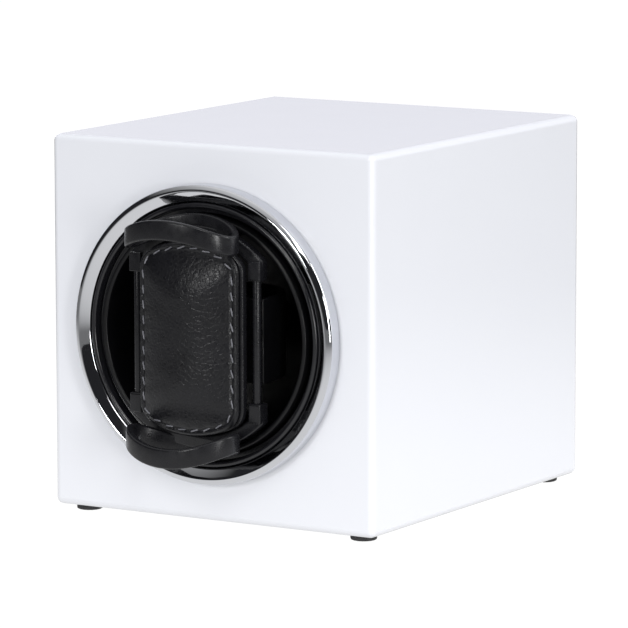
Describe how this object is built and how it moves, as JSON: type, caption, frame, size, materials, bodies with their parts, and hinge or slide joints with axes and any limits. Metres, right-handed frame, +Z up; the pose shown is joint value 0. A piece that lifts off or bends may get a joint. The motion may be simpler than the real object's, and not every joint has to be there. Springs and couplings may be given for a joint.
{
  "type": "watch winder box",
  "caption": "Lacquered cube cabinet with a chrome-ringed round opening; a motor-driven cup behind it carries a removable sprung watch holder with a stitched leather pad.",
  "frame": {"origin": "on the ground, at the middle of the object's bounding box", "axes": "+Z up; the opening faces -Y and +X is the viewer's right"},
  "size_m": [0.12, 0.1636, 0.1232],
  "materials": {
    "white_lacquer": "white piano lacquer on fibreboard, high gloss",
    "chrome": "polished chrome plating",
    "gloss_black_plastic": "polished black",
    "black_plastic": "satin black, fine texture",
    "black_leather": "soft grained black leather with pale grey stitching",
    "rubber": "matt black",
    "steel": "plain steel",
    "zinc_plate": "dull zinc plating",
    "brass": "machined",
    "white_plastic": "natural white",
    "board_green": "green circuit board",
    "lead_insulation": "soft insulation"
  },
  "bodies": {
    "cabinet": {"cabinet_shell": "white_lacquer", "rear_cover": "black_plastic", "bezel_ring": "chrome", "trim_ring": "gloss_black_plastic", "foot_front_left": "rubber", "foot_front_right": "rubber", "foot_rear_left": "rubber", "foot_rear_right": "rubber", "cover_screw_1": "steel", "cover_screw_2": "steel", "cover_screw_3": "steel", "cover_screw_4": "steel", "chassis_plate": "black_plastic", "shaft_bush": "brass", "motor_bracket": "zinc_plate", "bracket_post_1": "steel", "bracket_post_2": "steel", "bracket_post_3": "steel", "motor_gearbox": "zinc_plate", "motor_can": "steel", "circuit_board": "board_green", "board_post_1": "white_plastic", "board_post_2": "white_plastic", "dc_inlet": "zinc_plate", "mode_switch": "zinc_plate", "rocker_frame": "black_plastic", "motor_lead": "lead_insulation"},
    "drum": {"drum_cup": "gloss_black_plastic", "drum_shaft": "steel", "hub_screw": "steel", "drum_gear": "white_plastic"},
    "rotor": {"motor_pinion": "brass"},
    "holder": {"holder_rod_left": "gloss_black_plastic", "holder_rod_right": "gloss_black_plastic", "holder_bow": "black_plastic", "pad_board": "black_plastic", "leather_pad": "black_leather"},
    "end_top": {"holder_end_top": "gloss_black_plastic"},
    "end_bottom": {"holder_end_bottom": "gloss_black_plastic"},
    "rocker": {"power_rocker": "black_plastic"},
    "knob": {"mode_knob": "black_plastic"}
  },
  "joints": [
    {"name": "drum_spin", "type": "hinge", "parent": "cabinet", "child": "drum", "pos_m": [0, -0.0537, 0.0626], "axis": [0, -1, 0], "continuous": true},
    {"name": "motor_spin", "type": "hinge", "parent": "cabinet", "child": "rotor", "pos_m": [0, 0.013, 0.0386], "axis": [0, -1, 0], "continuous": true},
    {"name": "holder_pull", "type": "slide", "parent": "drum", "child": "holder", "axis": [0, -1, 0], "range_m": [0, 0.045]},
    {"name": "end_top_squeeze", "type": "slide", "parent": "holder", "child": "end_top", "axis": [0, 0, -1], "range_m": [0, 0.002], "stiffness_N_per_m": 400, "springref_m": -0.002},
    {"name": "end_bottom_squeeze", "type": "slide", "parent": "holder", "child": "end_bottom", "axis": [0, 0, 1], "range_m": [0, 0.002], "stiffness_N_per_m": 400, "springref_m": -0.002},
    {"name": "power_rocker_tilt", "type": "hinge", "parent": "cabinet", "child": "rocker", "pos_m": [0.03, 0.0763, 0.0896], "axis": [-1, 0, 0], "range_deg": [0, 20]},
    {"name": "mode_knob_turn", "type": "hinge", "parent": "cabinet", "child": "knob", "pos_m": [0, 0.0763, 0.0896], "axis": [0, 1, 0], "range_deg": [-135, 135]}
  ],
  "couplings": [
    {"joint": "motor_spin", "follows": "drum_spin", "ratio": -3}
  ]
}
